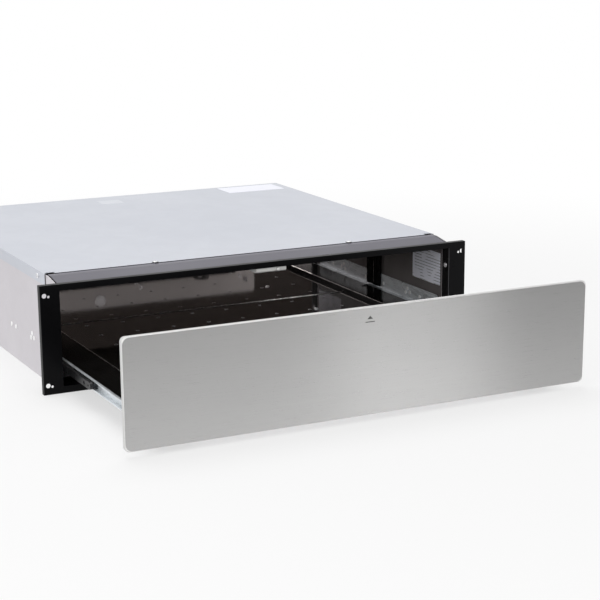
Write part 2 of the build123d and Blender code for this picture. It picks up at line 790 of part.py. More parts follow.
def striker_plate():
    """Steel disc on the backing that the latch's plunger meets, with a pressed ring."""
    x, z = striker_place
    stub = rod((x, panel_back - backing_sheet, z), (0, 1, 0), backing_sheet, striker_stub_r)
    disc = rod((x, panel_back, z), (0, 1, 0), striker_thickness, striker_r)
    groove = rod((x, panel_back + striker_thickness - 0.4, z), (0, 1, 0), 1, striker_r - 1.6)
    groove -= rod((x, panel_back, z), (0, 1, 0), 3, striker_r - 3.0)
    return stub + (disc - groove)


def panel_screws():
    """Screws from the tray into the front, and those that hold the backing plate."""
    screws = [pan_screw((x, tray_front, z), (0, 1, 0), tray_sheet + 2.6) for x, z in panel_screw_places]
    for x, z in backing_screw_places:
        screws.append(pan_screw((x, panel_back, z), (0, 1, 0), backing_sheet + 1.8, head_height=1.2))
    return screws


def panel_bumpers():
    height = shut_gap - touch_clear
    bumpers = []
    for x, z in bumper_places:
        bumper = rod((x, panel_back, z), (0, 1, 0), height, 4.0)
        bumpers.append(fillet(bumper.edges().filter_by(GeomType.CIRCLE).sort_by(Axis.Y)[-1:], 0.6))
    return bumpers


def push_mark():
    """Printed mark where the front is pressed: a triangle over a plain bar."""
    ink = 0.1
    y0, y1 = panel_front - ink, panel_front
    peak = panel_lift + panel_height - 10.3
    triangle = along_y([(-3.6, peak - 3.6), (3.6, peak - 3.6), (0, peak)], y0, y1)
    bar = block((-6, 6), (y0, y1), (peak - 7.4, peak - 6.4))
    return [triangle, bar]


# ------------------------------------------------------------------ tray
def air_port():
    """Opening low in the tray's rear that the blower's duct feeds."""
    half = duct_half_width
    return block((-half, half), (back_wall - 10, back_wall_rear + 1), (wool_low + 2.2, under_top - 1.5))


def tray_pan():
    t = tray_sheet
    wall = block((-flange_out, flange_out), (panel_back, tray_front), (ledge_low, tray_front_top))
    flange = block((floor_half_width, flange_out), (tray_front, back_wall), (flange_top - t, flange_top))
    step = block((floor_half_width, floor_half_width + t), (tray_front, back_wall), (ledge_low, flange_top))
    inner = floor_half_width - floor_ledge
    shelf = block((inner, floor_half_width), (tray_front, back_wall), (ledge_low, floor_low))
    pan = fuse([wall] + both(flange) + both(step) + both(shelf))
    pan += block((-inner, inner), (tray_front, tray_front + floor_ledge), (ledge_low, floor_low))
    return cut(pan, [rod((x, panel_back - 1, z), (0, 1, 0), 3, screw_r) for x, z in panel_screw_places])


def floor_rail():
    """Angle on the back wall that carries the rear edge of the floor."""
    half = floor_half_width - floor_ledge - touch_clear
    rail = block((-half, half), (back_wall - floor_ledge, back_wall), (ledge_low, floor_low))
    rail += block((-half, half), (back_wall - tray_sheet, back_wall), (wall_screw_height - 6.0, floor_low))
    holes = [rod((x, back_wall - 2, wall_screw_height), (0, 1, 0), 4, screw_r) for x in wall_screw_xs]
    return cut(rail, holes + [air_port()])


def vent_places():
    """Centres of the floor's air holes, in rows counted from the back wall."""
    room = floor_rear - floor_front - vent_rear_margin - vent_front_margin
    rows = 1 + int(room / vent_pitch_y)
    for column in range(vent_columns):
        for row in range(rows):
            x = vent_pitch_x * (column - (vent_columns - 1) / 2)
            yield x, back_wall - vent_rear_margin - vent_pitch_y * row


floor_screw_place = (vent_pitch_x * 2.5 + 9.2, back_wall - vent_rear_margin - vent_pitch_y - 1.7)


def floor_plate():
    half = floor_half_width - touch_clear
    plate = block((-half, half), (floor_front, floor_rear), (floor_low, floor_top))
    tools = [rod((x, y, floor_low - 1), (0, 0, 1), floor_sheet + 2, vent_r) for x, y in vent_places()]
    tools.append(rod((*floor_screw_place, floor_low - 1), (0, 0, 1), floor_sheet + 2, screw_r))
    return cut(plate, tools)


def floor_post():
    """Spacer on the reflector that holds the middle of the floor up and takes its screw."""
    x, y = floor_screw_place
    post = rod((x, y, reflector_top), (0, 0, 1), floor_low - reflector_top, 4.5)
    return post - rod((x, y, reflector_top + 3), (0, 0, 1), floor_low, screw_r)


def floor_trims():
    """Bright strips along the inner edges of the tray's side flanges."""
    low = floor_half_width - 0.2
    heights = (flange_top, flange_top + trim_height)
    return both(block((low, low + trim_width), (floor_front, floor_rear), heights))


def tray_back_wall():
    t = tray_sheet
    half = wall_half_high
    lower = block((-wall_half_low, wall_half_low), (back_wall, back_wall_rear), (wall_low, wall_step))
    upper = block((-half, half), (back_wall, back_wall_rear), (wall_step, back_wall_top))
    wing = block((half - t, half), (back_wall - back_wing, back_wall), (wall_step, back_wall_top))
    wall = fuse([upper, lower] + both(wing))
    folded = (back_wall_rear, back_wall_rear + flange_width)
    wall += block((-half, half), folded, (back_wall_top - t, back_wall_top))
    tools = [air_port()]
    for i in range(13):
        x = 10.0 * (i - 6)
        slot = Plane.XZ.offset(-back_wall_rear) * Pos(x, blower_high - 11) * SlotOverall(13, 4, rotation=90)
        tools.append(extrude(slot, amount=2 * t, both=True))
    tools += [rod((x, back_wall - 2, wall_screw_height), (0, 1, 0), 4, screw_r) for x in wall_screw_xs]
    return cut(wall, tools)


def tray_screws():
    """Screws through the back wall into the tray and lower tray, and the one in the floor."""
    depth = 2 * tray_sheet + sheet + 2
    screws = [pan_screw((x, back_wall_rear, wall_screw_height), (0, 1, 0), depth) for x in wall_screw_xs]
    screws.append(pan_screw((*floor_screw_place, floor_top), (0, 0, 1), floor_sheet + 5, head_r=3.0))
    return screws


def under_pan():
    """Lower tray, hung under the floor's shelf, that holds the wool and the element."""
    y0, y1 = tray_front + 0.8, back_wall - tray_sheet
    bottom = block((-under_half, under_half), (y0, y1), (under_clear, wool_low))
    wall = block((under_half - sheet, under_half), (y0, y1), (under_clear, under_top))
    flange = block((under_half - sheet, floor_half_width - 0.6), (y0, y1), (under_top, ledge_low))
    pan = fuse([bottom] + both(wall) + both(flange))
    for y in ((y0, y0 + sheet), (y1 - sheet, y1)):
        pan += block((-under_half, under_half), y, (under_clear, under_top))
    tools = [air_port()]
    tools += [rod((x, back_wall - 4, wall_screw_height), (0, 1, 0), 6, screw_r) for x in wall_screw_xs]
    return cut(pan, tools)


def inside_under_pan(low, high):
    half = under_half - sheet - 2.0
    return block((-half, half), (tray_front + 4, back_wall - tray_sheet - 6), (low, high))


def tray_wool():
    return inside_under_pan(wool_low, reflector_low)


def heat_reflector():
    return inside_under_pan(reflector_low, reflector_top)


def element_run_x(i):
    return element_pitch * (i - (element_runs - 1) / 2)


def heating_element():
    """Sheathed heating rod, bent to and fro under the floor."""
    front, rear = tray_front + 70, back_wall - 75
    end = back_wall - 25
    edges = []
    for i in range(element_runs):
        x = element_run_x(i)
        near, far = (front, end if i in (0, element_runs - 1) else rear)
        edges.append(Line((x, near, element_mid), (x, far, element_mid)))
        if i < element_runs - 1:
            bend = front if i % 2 == 0 else rear
            crown = bend - element_pitch / 2 if i % 2 == 0 else bend + element_pitch / 2
            middle = (x + element_pitch / 2, crown, element_mid)
            bend_end = (x + element_pitch, bend, element_mid)
            edges.append(ThreePointArc((x, bend, element_mid), middle, bend_end))
    path = Wire(edges)
    start = (element_run_x(0), end, element_mid)
    return sweep(Plane(origin=start, z_dir=(0, -1, 0)) * Circle(element_r), path=path)


def element_clips():
    """Saddles that hold the element on the reflector."""
    clips = []
    inner = element_r + running_clear
    for i in range(element_runs):
        for y in (tray_front + 110, back_wall - 120):
            x = element_run_x(i)
            saddle = rod((x, y, element_mid), (0, 1, 0), 7, inner + 0.8)
            saddle += block((x - 9, x + 9), (y, y + 7), (reflector_top, reflector_top + 0.8))
            saddle -= rod((x, y - 1, element_mid), (0, 1, 0), 9, inner)
            clips.append(saddle)
    return clips


# ------------------------------------------------------------------ blower and cut-out
def fan_housing():
    """Blower box on the back wall, open towards it, with a duct down to the port under the floor."""
    t = sheet
    y0, y1 = back_wall_rear, blower_rear
    half = blower_half
    box = block((-half, half), (y0, y1), (blower_low, blower_high))
    box -= block((-half + t, half - t), (y0 - 1, y1 - t), (blower_low + t, blower_high - t))
    duct_half = duct_half_width + 4
    y2 = y0 + duct_depth
    box += block((-duct_half, duct_half), (y0, y2), (wall_low, blower_low))
    box -= block((-duct_half + t, duct_half - t), (y0 - 1, y2 - t), (wall_low + t, blower_low + t + 1))
    box -= rod((-half - 1, rotor_y, rotor_z), (1, 0, 0), t + 2, shaft_r + running_clear)
    box -= rod((half - t - 1, rotor_y, rotor_z), (1, 0, 0), t + 2, shaft_r + 3)
    return box


def fan_motor():
    start = blower_half
    motor = rod((start, rotor_y, rotor_z), (1, 0, 0), 3, 12)
    motor += rod((start + 3, rotor_y, rotor_z), (1, 0, 0), 22, 19)
    motor += block((start + 8, start + 20), (rotor_y - 14, rotor_y + 14), (rotor_z - 30, rotor_z - 12))
    return motor - rod((start - 1, rotor_y, rotor_z), (1, 0, 0), 22, shaft_r + running_clear)


def fan_rotor():
    """Drum fan: a ring of blades between two discs, on a shaft from the end plate into the motor."""
    half = rotor_length / 2
    shaft = rod((-blower_half - 1, rotor_y, rotor_z), (1, 0, 0), 2 * blower_half + 18, shaft_r)
    rotor = shaft
    for x in (-half, half - 1.2):
        rotor += rod((x, rotor_y, rotor_z), (1, 0, 0), 1.2, rotor_r)
    for i in range(rotor_blades):
        blade = Pos(0, rotor_r - 4.2, 0) * Rot(28, 0, 0) * Box(rotor_length - 1, 7.0, 0.8)
        rotor += Pos(0, rotor_y, rotor_z) * Rot(360 / rotor_blades * i, 0, 0) * blade
    return rotor


def thermal_cutout():
    """Disc thermostat on a strap behind the back wall."""
    x, z = -blower_half - 32, rotor_z - 14
    cutout = block((x - 18, x + 18), (back_wall_rear, back_wall_rear + 1), (z - 6, z + 6))
    cutout += rod((x, back_wall_rear + 1, z), (0, 1, 0), 7, 8)
    for left in (x - 7.5, x + 4.5):
        cutout += block((left, left + 3), (back_wall_rear + 7, back_wall_rear + 14), (z - 3, z + 3))
    return cutout


def lead_clip():
    """Strain relief for the drawer's lead on the back wall."""
    around = (lead_x - 8, lead_x + 8)
    body = block(around, (back_wall_rear, back_wall_rear + 9), (lead_z - 7, lead_z + 7))
    return body - rod((lead_x, back_wall_rear - 1, lead_z), (0, 1, 0), 14, lead_r + 0.25)


# ------------------------------------------------------------------ controls
def control_box():
    """Folded cover behind the tray's front wall that carries the controls on its top."""
    t = tray_sheet
    box = block((control_left, control_right), (tray_front, control_rear), (floor_top, control_top))
    inside = (control_left + t, control_right - t)
    box -= block(inside, (tray_front - 1, control_rear - t), (floor_top - 1, control_top - t))
    tools = [
        rod((knob_x, control_y, control_top - 2), (0, 0, 1), 4, spindle_r + 2.2),
        rod((lamp_x, control_y, control_top - 2), (0, 0, 1), 4, lamp_r + 0.1),
        block(
            (rocker_x - rocker_r - 1.5, rocker_x + rocker_r + 1.5),
            (control_y - rocker_half_length - 3.5, control_y + rocker_half_length + 3.5),
            (control_top - 2, control_top + 2),
        ),
    ]
    return cut(box, tools)


def thermostat():
    """Capillary thermostat under the control box's top, bored for the knob's spindle."""
    top = control_top - tray_sheet
    body = block((knob_x - 15, knob_x + 15), (control_y - 15, control_y + 15), (top - 22, top))
    body += rod((knob_x, control_y, top), (0, 0, 1), 2.4, spindle_r + 2.0)
    return body - rod((knob_x, control_y, top - 16), (0, 0, 1), 20, spindle_r + running_clear)


def thermostat_knob():
    low = control_top + 1.6 + touch_clear
    bottom = control_top - tray_sheet - 15
    knob = rod((knob_x, control_y, low), (0, 0, 1), knob_height, knob_r)
    knob = fillet(knob.edges().filter_by(GeomType.CIRCLE).sort_by(Axis.Z)[-1:], 1.5)
    for i in range(24):
        angle = math.radians(15 * i)
        groove_at = (knob_x + knob_r * math.cos(angle), control_y + knob_r * math.sin(angle), low + 2)
        knob -= rod(groove_at, (0, 0, 1), knob_height, 0.8)
    top = low + knob_height
    pointer_depths = (control_y - knob_r + 2, control_y - 3)
    pointer = block((knob_x - 0.6, knob_x + 0.6), pointer_depths, (top - 0.5, top + 1))
    return knob - pointer + rod((knob_x, control_y, bottom), (0, 0, 1), low - bottom, spindle_r)


rocker_pivot = control_top - 2.5


def switch_body():
    """Rocker switch's case, with a bezel on the control box and holes for the rocker's trunnions."""
    half_x = rocker_r + 1.4
    half_y = rocker_half_length + 3.4
    x, y = rocker_x, control_y
    body = block((x - half_x, x + half_x), (y - half_y, y + half_y), (control_top - 18, control_top))
    rim_x, rim_y = half_x + 1.4, half_y + 1.4
    body += block((x - rim_x, x + rim_x), (y - rim_y, y + rim_y), (control_top, control_top + 1.2))
    room_x, room_y = rocker_r + touch_clear, rocker_half_length + touch_clear
    heights = (rocker_pivot - room_x, control_top + 2)
    body -= block((x - room_x, x + room_x), (y - room_y, y + room_y), heights)
    hole_r = trunnion_r + running_clear
    return body - rod((x, y - room_y - 2, rocker_pivot), (0, 1, 0), 2 * room_y + 4, hole_r)


def power_switch():
    """Rocker with a shallow V top, drawn tipped to its off side."""
    half = rocker_half_length
    drum = rod((0, -half, 0), (0, 1, 0), 2 * half, rocker_r)
    rise = 5.0
    reach = rocker_r + 1
    tip = rise + reach * math.tan(math.radians(rocker_tilt))
    top = along_y([(-reach, tip), (0, rise), (reach, tip), (reach, 20), (-reach, 20)], -half - 1, half + 1)
    drum -= top
    drum += rod((0, -half - 1.8, 0), (0, 1, 0), 2 * half + 3.6, trunnion_r)
    return Pos(rocker_x, control_y, rocker_pivot) * Rot(0, -rocker_tilt, 0) * drum


def indicator_lamp():
    lens = rod((lamp_x, control_y, control_top - 8), (0, 0, 1), 10, lamp_r)
    lens = fillet(lens.edges().filter_by(GeomType.CIRCLE).sort_by(Axis.Z)[-1:], 1.2)
    return lens + rod((lamp_x, control_y, control_top), (0, 0, 1), 0.6, lamp_r + 1.2)


# ------------------------------------------------------------------ all the pieces
os.makedirs("parts", exist_ok=True)
pieces = {
    "front_frame": front_frame(),
    "frame_screws": frame_screws(),
    "base_pan": base_pan(),
    "right_side_panel": side_panel(),
    "left_side_panel": mirrored(side_panel()),
    "rear_panel": rear_panel(),
    "rear_brackets": rear_brackets(),
    "casing_screws": casing_screws(),
    "top_cover": top_cover(),
    "cover_screws": cover_screws(),
    "cover_labels": cover_labels(),
    "front_top_rail": front_top_rail(),
    "cavity_ceiling": cavity_ceiling(),
    "top_wool": top_wool(),
    "side_liners": side_liners(),
    "side_label": side_label(),
    "runner_rails": runner_rails(),
    "cabinet_channels": cabinet_channels(),
    "rail_rivets": runner_rail_rivets(),
    "right_runner_middle": runner_middle(),
    "left_runner_middle": mirrored(runner_middle()),
    "drawer_channels": drawer_channels(),
    "latch_body": latch_body(),
    "latch_spring": latch_spring(),
    "latch_plunger": latch_plunger(),
    "cord_gland": cord_gland(),
    "terminal_block": terminal_block(),
    "terminal_screws": terminal_screws(),
    "earth_stud": earth_stud(),
    "drawer_lead": drawer_lead(),
    "lead_clip": lead_clip(),
    "front_panel": front_panel(),
    "panel_core": panel_core(),
    "panel_backing": panel_backing(),
    "striker_plate": striker_plate(),
    "panel_screws": panel_screws(),
    "panel_bumpers": panel_bumpers(),
    "push_mark": push_mark(),
    "tray_pan": tray_pan(),
    "floor_rail": floor_rail(),
    "tray_back_wall": tray_back_wall(),
    "tray_screws": tray_screws(),
    "floor_plate": floor_plate(),
    "floor_post": floor_post(),
    "floor_trims": floor_trims(),
    "under_pan": under_pan(),
    "tray_wool": tray_wool(),
    "heat_reflector": heat_reflector(),
    "heating_element": heating_element(),
    "element_clips": element_clips(),
    "fan_housing": fan_housing(),
    "fan_motor": fan_motor(),
    "fan_rotor": fan_rotor(),
    "thermal_cutout": thermal_cutout(),
    "control_box": control_box(),
    "thermostat": thermostat(),
    "thermostat_knob": thermostat_knob(),
    "switch_body": switch_body(),
    "power_switch": power_switch(),
    "indicator_lamp": indicator_lamp(),
}
for name, shape in pieces.items():
    save(name, shape)
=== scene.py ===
import json
import math

import bpy
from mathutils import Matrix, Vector


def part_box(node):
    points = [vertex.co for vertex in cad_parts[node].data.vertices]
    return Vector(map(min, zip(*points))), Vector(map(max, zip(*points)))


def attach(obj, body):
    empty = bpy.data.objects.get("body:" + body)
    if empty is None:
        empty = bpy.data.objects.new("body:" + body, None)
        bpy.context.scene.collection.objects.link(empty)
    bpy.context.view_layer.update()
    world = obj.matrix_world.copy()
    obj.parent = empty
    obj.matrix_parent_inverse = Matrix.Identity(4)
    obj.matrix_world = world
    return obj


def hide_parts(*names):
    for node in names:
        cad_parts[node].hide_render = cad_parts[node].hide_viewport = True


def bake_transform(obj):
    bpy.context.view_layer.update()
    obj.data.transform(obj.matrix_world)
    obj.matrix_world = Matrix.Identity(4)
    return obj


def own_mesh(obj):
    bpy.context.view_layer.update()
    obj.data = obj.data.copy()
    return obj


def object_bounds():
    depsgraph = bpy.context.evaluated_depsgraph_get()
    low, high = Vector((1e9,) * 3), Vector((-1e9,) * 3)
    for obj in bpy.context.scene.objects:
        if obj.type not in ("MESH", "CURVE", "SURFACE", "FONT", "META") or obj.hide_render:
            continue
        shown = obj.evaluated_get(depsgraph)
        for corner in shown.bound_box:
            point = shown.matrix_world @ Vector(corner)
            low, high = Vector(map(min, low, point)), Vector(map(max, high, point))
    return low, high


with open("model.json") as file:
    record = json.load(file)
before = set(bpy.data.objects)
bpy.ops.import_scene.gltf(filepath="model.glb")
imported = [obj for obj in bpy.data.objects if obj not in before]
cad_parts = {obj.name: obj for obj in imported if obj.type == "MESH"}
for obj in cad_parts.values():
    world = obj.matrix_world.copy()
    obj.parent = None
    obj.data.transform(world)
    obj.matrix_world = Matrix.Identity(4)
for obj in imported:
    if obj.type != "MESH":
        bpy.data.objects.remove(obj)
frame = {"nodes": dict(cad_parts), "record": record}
cad_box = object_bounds()
node = frame["nodes"]
slots = {entry["node"]: entry["material_slot"] for entry in frame["record"]["subparts"]}
joints = {joint["name"]: joint for joint in frame["record"]["behaviour"]["joints"]}

MM = 0.001
X, Y, Z = range(3)

# Places that finishes follow, in millimetres
opening_half = 272.4  # from the middle to the side edges of the frame's opening
wall_face = 205.0  # depth of the back wall's polished face
cover_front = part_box("top_cover")[0].y / MM


# ------------------------------------------------------------------ nodes and objects
def new_node(tree, kind, **settings):
    """A node of one kind, with its settings made."""
    made = tree.nodes.new(kind)
    for name, value in settings.items():
        setattr(made, name, value)
    return made


def feed(tree, source, socket):
    """Gives a socket the output of another node, or a constant."""
    if isinstance(source, bpy.types.NodeSocket):
        tree.links.new(source, socket)
    else:
        socket.default_value = source


def number(tree, operation, *terms):
    """A number worked out from others, each one an output or a constant."""
    made = new_node(tree, "ShaderNodeMath", operation=operation)
    for term, socket in zip(terms, made.inputs):
        feed(tree, term, socket)
    return made.outputs[0]


def vector(tree, operation, *terms):
    """A vector worked out from others, each one an output or a constant; LENGTH gives a number."""
    made = new_node(tree, "ShaderNodeVectorMath", operation=operation)
    for term, socket in zip(terms, made.inputs):
        feed(tree, term, socket)
    return made.outputs["Value" if operation == "LENGTH" else "Vector"]


def spread(tree, source, low, high, start, end, curve="LINEAR"):
    """A number's values from start to end, spread over low to high."""
    reach = new_node(tree, "ShaderNodeMapRange", interpolation_type=curve)
    ends = {"From Min": start, "From Max": end, "To Min": low, "To Max": high}
    for socket, value in ends.items():
        reach.inputs[socket].default_value = value
    tree.links.new(source, reach.inputs["Value"])
    return reach.outputs["Result"]


def new_object(name, data):
    """An object at the origin, put in the scene."""
    made = bpy.data.objects.new(name, data)
    bpy.context.scene.collection.objects.link(made)
    return made


def final_mesh(source, name):
    """The finished mesh of an object, which is then removed."""
    graph = bpy.context.evaluated_depsgraph_get()
    mesh = bpy.data.meshes.new_from_object(source.evaluated_get(graph))
    bpy.data.objects.remove(source)
    mesh.name = name
    return mesh


# ------------------------------------------------------------------ finishes
class Finish:
    """A surface finish: one shader, and the patterns that feed its colour, gloss and relief."""

    # A Mix node's colour sockets, whose names its number sockets have too
    MIX_FACTOR, MIX_FROM, MIX_TO, MIX_RESULT = 0, 6, 7, 2

    def __init__(self, name, colour, roughness, metallic=0.0, **sockets):
        self.name = name
        self.colour = colour
        self.material = bpy.data.materials.new(name)
        self.material.use_nodes = True
        self.tree = self.material.node_tree
        self.shader = self.tree.nodes["Principled BSDF"]
        self.shader.inputs["Base Color"].default_value = (*colour, 1)
        self.shader.inputs["Roughness"].default_value = roughness
        self.shader.inputs["Metallic"].default_value = metallic
        for socket, value in sockets.items():
            self.shader.inputs[socket.replace("_", " ")].default_value = value
        self.normal = None

    def add(self, kind, **settings):
        return new_node(self.tree, kind, **settings)

    def link(self, source, target):
        self.tree.links.new(source, target)

    def number(self, operation, *terms):
        return number(self.tree, operation, *terms)

    def vector(self, operation, *terms):
        return vector(self.tree, operation, *terms)

    def spread(self, source, low, high, start=0.3, end=0.7):
        """A pattern's values from start to end, spread over low to high."""
        return spread(self.tree, source, low, high, start, end)

    def place(self, per_metre):
        """Object coordinates, stretched to so many pattern cells in a metre along X, Y and Z."""
        coordinates = self.add("ShaderNodeTexCoord")
        mapping = self.add("ShaderNodeMapping")
        mapping.inputs["Scale"].default_value = per_metre
        self.link(coordinates.outputs["Object"], mapping.inputs["Vector"])
        return mapping.outputs["Vector"]

    def along(self, axis, per_metre=1 / MM):
        """The place along one axis, in millimetres or in another part of a metre."""
        split = self.add("ShaderNodeSeparateXYZ")
        self.link(self.place((per_metre,) * 3), split.inputs["Vector"])
        return split.outputs[axis]

    def noise(self, per_metre, detail=3.0, rough=0.55, warp=0.0):
        """Soft random values, about 0.3 to 0.7."""
        texture = self.add("ShaderNodeTexNoise")
        settings = {"Scale": 1.0, "Detail": detail, "Roughness": rough, "Distortion": warp}
        for socket, value in settings.items():
            texture.inputs[socket].default_value = value
        self.link(self.place(per_metre), texture.inputs["Vector"])
        return texture.outputs["Fac"]

    def cells(self, per_metre):
        """One random value for each crystal or chip."""
        texture = self.add("ShaderNodeTexVoronoi", feature="F1")
        texture.inputs["Scale"].default_value = 1.0
        self.link(self.place(per_metre), texture.inputs["Vector"])
        split = self.add("ShaderNodeSeparateColor")
        self.link(texture.outputs["Color"], split.inputs["Color"])
        return split.outputs["Red"]

    def before(self, axis, limit_mm):
        """1 where the surface lies below a limit along an axis, and 0 beyond it."""
        return self.number("LESS_THAN", self.along(axis), limit_mm)

    def rise(self, axis, low_mm, high_mm):
        """0 at the low place along an axis, 1 at the high one."""
        return self.spread(self.along(axis), 0.0, 1.0, low_mm, high_mm)

    def band(self, axis, middle_mm, half_mm):
        """1 where the distance from the centre plane of an axis is about a given one."""
        away = self.number("ABSOLUTE", self.along(axis))
        return self.number("COMPARE", away, middle_mm, half_mm)

    def beyond(self, middle, half, corner, reach_mm):
        """1 near and round the edge of a plate with rounded corners that faces the front."""
        any_depth = 1000.0
        moved = self.vector("SUBTRACT", self.place((1 / MM,) * 3), middle)
        folded = self.vector("ABSOLUTE", moved)
        outside = self.vector("SUBTRACT", folded, (half[0] - corner, any_depth, half[1] - corner))
        away = self.vector("LENGTH", self.vector("MAXIMUM", outside, (0, 0, 0)))
        return self.number("GREATER_THAN", away, corner - reach_mm)

    def lay_over(self, mix):
        """Puts a Mix node between the base colour so far and the shader."""
        socket = self.shader.inputs["Base Color"]
        if socket.links:
            self.link(socket.links[0].from_socket, mix.inputs[self.MIX_FROM])
        else:
            mix.inputs[self.MIX_FROM].default_value = (*self.colour, 1)
        self.link(mix.outputs[self.MIX_RESULT], socket)

    def paint(self, factor, other):
        """Mixes the base colour towards another one by a factor."""
        mix = self.add("ShaderNodeMix", data_type="RGBA")
        mix.inputs[self.MIX_TO].default_value = (*other, 1)
        self.link(factor, mix.inputs[self.MIX_FACTOR])
        self.lay_over(mix)

    def tint(self, source, other, share):
        """Mixes the base colour towards another one by up to a share where the pattern is high."""
        self.paint(self.spread(source, 0.0, share), other)

    def deepen(self, factor, low, high):
        """Scales the base colour by low where a factor is 0, and by high where it is 1."""
        mix = self.add("ShaderNodeMix", data_type="RGBA", blend_type="MULTIPLY")
        mix.inputs[self.MIX_FACTOR].default_value = 1.0
        self.link(self.spread(factor, low, high, 0.0, 1.0), mix.inputs[self.MIX_TO])
        self.lay_over(mix)

    def blend_in(self, socket, factor, value, other):
        """Mixes a number of the shader towards another one by a factor."""
        self.link(self.spread(factor, value, other, 0.0, 1.0), self.shader.inputs[socket])

    def gloss(self, source, low, high):
        """Lets the roughness follow a pattern."""
        self.link(self.spread(source, low, high), self.shader.inputs["Roughness"])

    def relief(self, source, depth_mm, strength):
        """Adds a pattern to the relief so far."""
        bump = self.add("ShaderNodeBump")
        bump.inputs["Strength"].default_value = strength
        bump.inputs["Distance"].default_value = depth_mm * MM
        self.link(source, bump.inputs["Height"])
        if self.normal:
            self.link(self.normal, bump.inputs["Normal"])
        self.normal = bump.outputs["Normal"]
        self.link(self.normal, self.shader.inputs["Normal"])


def shade(colour, factor):
    """A colour made darker or lighter, up to full."""
    return tuple(min(1.0, part * factor) for part in colour)


def sheet_steel(name, colour, roughness, metallic, spangle=60.0):
    """Zinc-coated sheet: faint crystals, soft clouds of dulling and a rolled grain along Y."""
    finish = Finish(name, colour, roughness, metallic)
    crystals = finish.cells((spangle, spangle * 0.8, spangle))
    clouds = finish.noise((6, 4, 6), detail=4)
    grain = finish.noise((900, 14, 900), detail=2)
    finish.tint(crystals, shade(colour, 1.05), 0.5)
    finish.tint(clouds, shade(colour, 0.93), 0.6)
    finish.gloss(clouds, roughness - 0.05, roughness + 0.07)
    finish.relief(grain, 0.01, 0.35)
    finish.relief(crystals, 0.01, 0.15)
    return finish


def cover_sheet(name, colour):
    """Zinc-coated cover whose cut edge along the front is painted dark, as a painted shadow line for the
    gap under it.
    """
    shadow_line_limit = cover_front + 0.1
    finish = sheet_steel(name, colour, 0.40, 0.45)
    # Painted shadow: the front edge is made dark for the gap under the cover's edge.
    finish.paint(finish.before(Y, shadow_line_limit), (0.05, 0.05, 0.055))
    return finish


def ledge_sheet(name, colour):
    """Dull zinc-coated ledge, with a painted highlight that makes it lighter from about 5 mm before the
    cover's front edge backwards.
    """
    dull_up_to, bright_from = cover_front - 5.8, cover_front - 5.0
    finish = sheet_steel(name, colour, 0.42, 0.6, spangle=90.0)
    # Painted highlight: the ledge is made lighter from just before the cover's front edge.
    finish.paint(finish.rise(Y, dull_up_to, bright_from), shade(colour, 1.7))
    return finish


def runner_zinc(name, colour):
    """Zinc-plated runners: coarse bright and dark patches along the rail."""
    finish = sheet_steel(name, colour, 0.26, 0.5, spangle=140.0)
    patches = finish.noise((90, 28, 240), detail=5, rough=0.75)
    finish.paint(finish.spread(patches, 0.0, 0.6, 0.48, 0.62), shade(colour, 0.5))
    finish.relief(patches, 0.12, 0.4)
    return finish


def brushed_front(name, colour):
    """Stainless steel brushed from side to side, with painted light that makes it lighter low down and
    darker at the top, and a painted highlight round its edges.
    """
    corner_radius, rim_highlight_mm = 9.0, 0.8
    low, high = (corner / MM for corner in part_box("front_panel"))
    middle, half = (low + high) / 2, (high - low) / 2
    finish = Finish(name, colour, 0.3, 1.0, Anisotropic=1.0, Anisotropic_Rotation=0.25)
    tangent = finish.add("ShaderNodeTangent", direction_type="RADIAL", axis="Z")
    finish.link(tangent.outputs["Tangent"], finish.shader.inputs["Tangent"])
    strokes = finish.noise((9, 9, 900), detail=4, rough=0.7)
    hairs = finish.noise((30, 30, 3600), detail=3, rough=0.8)
    clouds = finish.noise((5, 5, 18), detail=2)
    finish.tint(strokes, shade(colour, 0.93), 0.6)
    finish.tint(hairs, shade(colour, 1.10), 0.6)
    finish.tint(clouds, shade(colour, 0.96), 0.5)
    # Painted light: the base colour is scaled lighter low down and darker at the top.
    finish.deepen(finish.rise(Z, low.z, high.z), 1.17, 0.84)
    # Painted highlight: a lighter band round the panel's rounded edges.
    finish.paint(finish.beyond(middle, (half.x, half.z), corner_radius, rim_highlight_mm), shade(colour, 2.1))
    finish.gloss(hairs, 0.27, 0.32)
    finish.relief(hairs, 0.008, 0.4)
    return finish


def lacquer(name, colour, roughness):
    """Black powder coat over steel: fine orange peel, uneven gloss, and a painted highlight on the fold
    along each side of the opening.
    """
    finish = Finish(name, colour, roughness, Specular_IOR_Level=0.06)
    peel = finish.noise((700, 700, 700), detail=2)
    clouds = finish.noise((14, 14, 14), detail=4)
    finish.tint(clouds, shade(colour, 1.35), 0.7)
    finish.gloss(clouds, roughness * 0.8, roughness * 1.3)
    finish.relief(peel, 0.006, 0.5)
    # Painted highlight: a lighter strip on the fold along each side of the opening.
    sheet_front = finish.band(Y, 1.4, 1.0)
    opening_edge = finish.band(X, opening_half, 0.4)
    finish.paint(finish.number("MULTIPLY", sheet_front, opening_edge), (0.13, 0.13, 0.14))
    return finish


def dark_gloss(name, colour, roughness, waviness, specular):
    """Black enamel on thin sheet, whose slow waves bend what it reflects."""
    finish = Finish(name, colour, roughness, Specular_IOR_Level=specular)
    waves = finish.noise((7, 7, 7), detail=0)
    clouds = finish.noise((18, 18, 18), detail=3)
    finish.tint(clouds, shade(colour, 1.3), 0.5)
    finish.gloss(clouds, roughness * 0.85, roughness * 1.2)
    finish.relief(waves, waviness, 0.5)
    return finish


def polished_sheet(name, colour, roughness, waviness):
    """Polished stainless sheet, a mirror with slow waves and a faint uneven haze."""
    finish = Finish(name, colour, roughness, 1.0)
    waves = finish.noise((6, 6, 10), detail=0)
    haze = finish.noise((14, 14, 14), detail=2)
    finish.tint(haze, shade(colour, 0.92), 0.5)
    finish.gloss(haze, roughness * 0.8, roughness * 1.3)
    finish.relief(waves, waviness, 0.5)
    return finish


